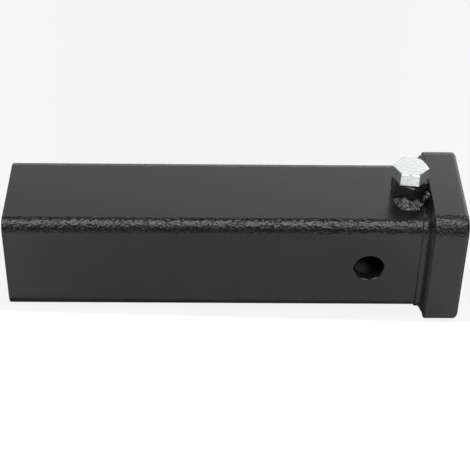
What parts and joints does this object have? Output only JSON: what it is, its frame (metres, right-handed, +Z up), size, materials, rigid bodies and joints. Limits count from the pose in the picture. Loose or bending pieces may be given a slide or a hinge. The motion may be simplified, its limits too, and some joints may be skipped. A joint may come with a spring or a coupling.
{
  "type": "hitch extender",
  "caption": "Square steel receiver tube that extends a tow hitch, with a welded collar round its mouth, a cross hole for a hitch pin and a top bolt that clamps the shank.",
  "frame": {"origin": "centre of the receiver mouth, in the plane of the collar's front face", "axes": "+X out of the mouth along the tube, +Y along the hitch pin, +Z up to the bolt"},
  "size_m": [0.268, 0.0768, 0.0896],
  "materials": {
    "black_powder_coat": "satin",
    "zinc_plate": "satin"
  },
  "bodies": {
    "receiver": {"receiver_tube": "black_powder_coat", "mouth_collar": "black_powder_coat", "collar_weld": "black_powder_coat", "weld_nut": "black_powder_coat", "nut_weld_front": "black_powder_coat", "nut_weld_back": "black_powder_coat"},
    "bolt": {"clamp_bolt": "zinc_plate"}
  },
  "joints": [
    {"name": "bolt_feed", "type": "slide", "parent": "receiver", "child": "bolt", "axis": [0, 0, 1], "range_m": [-0.00025, 0.0105]}
  ]
}
